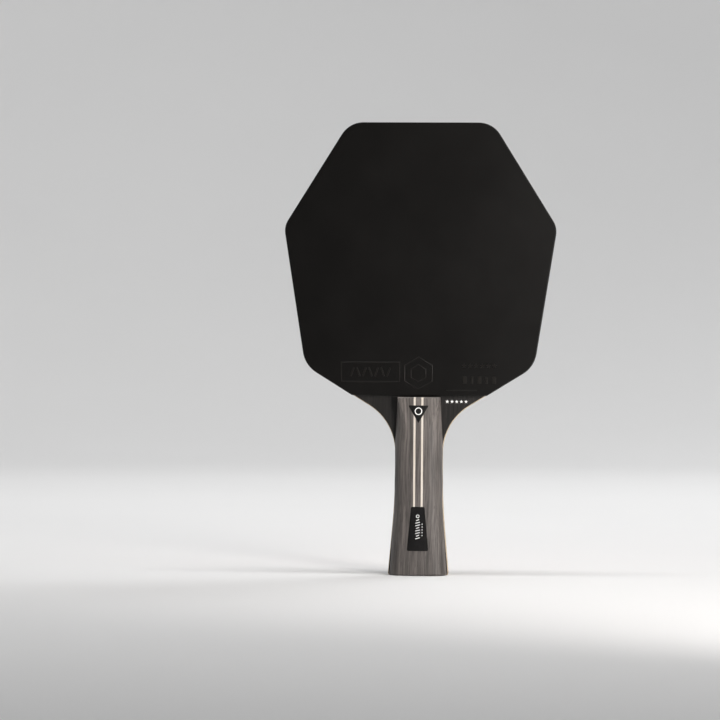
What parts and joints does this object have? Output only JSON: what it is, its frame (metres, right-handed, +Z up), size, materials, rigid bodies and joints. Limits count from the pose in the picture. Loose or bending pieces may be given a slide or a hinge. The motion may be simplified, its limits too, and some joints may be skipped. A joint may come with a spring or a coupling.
{
  "type": "table tennis paddle",
  "caption": "Table tennis paddle with a many-sided, round-cornered head, black and red rubber on a carbon blade, and a flared wooden handle with two inlaid strips.",
  "frame": {"origin": "centre of the handle's butt, on the surface that the paddle stands on", "axes": "+Z up along the handle towards the head, +X to the right across the black front face, +Y from the black front face to the red rear face"},
  "size_m": [0.1524, 0.0242, 0.2542],
  "materials": {
    "core_wood": "matte",
    "inner_wood": "matte",
    "carbon": "satin",
    "black_veneer": "satin",
    "black_sponge": "matte",
    "black_topsheet": "satin",
    "red_topsheet": "satin",
    "scale_wood": "matte",
    "strip_wood": "matte",
    "badge_plastic": "gloss",
    "label_plastic": "satin",
    "edge_tape": "satin"
  },
  "bodies": {
    "root": {"core_ply": "core_wood", "edge_tape": "edge_tape", "front_inner_ply": "inner_wood", "front_carbon_layer": "carbon", "front_outer_veneer": "black_veneer", "front_sponge": "black_sponge", "front_topsheet": "black_topsheet", "front_handle_scale": "scale_wood", "front_left_strip": "strip_wood", "front_right_strip": "strip_wood", "front_badge": "badge_plastic", "front_label": "label_plastic", "rear_inner_ply": "inner_wood", "rear_carbon_layer": "carbon", "rear_outer_veneer": "black_veneer", "rear_sponge": "black_sponge", "rear_topsheet": "red_topsheet", "rear_handle_scale": "scale_wood", "rear_left_strip": "strip_wood", "rear_right_strip": "strip_wood", "rear_badge": "badge_plastic", "rear_label": "label_plastic"}
  },
  "joints": []
}
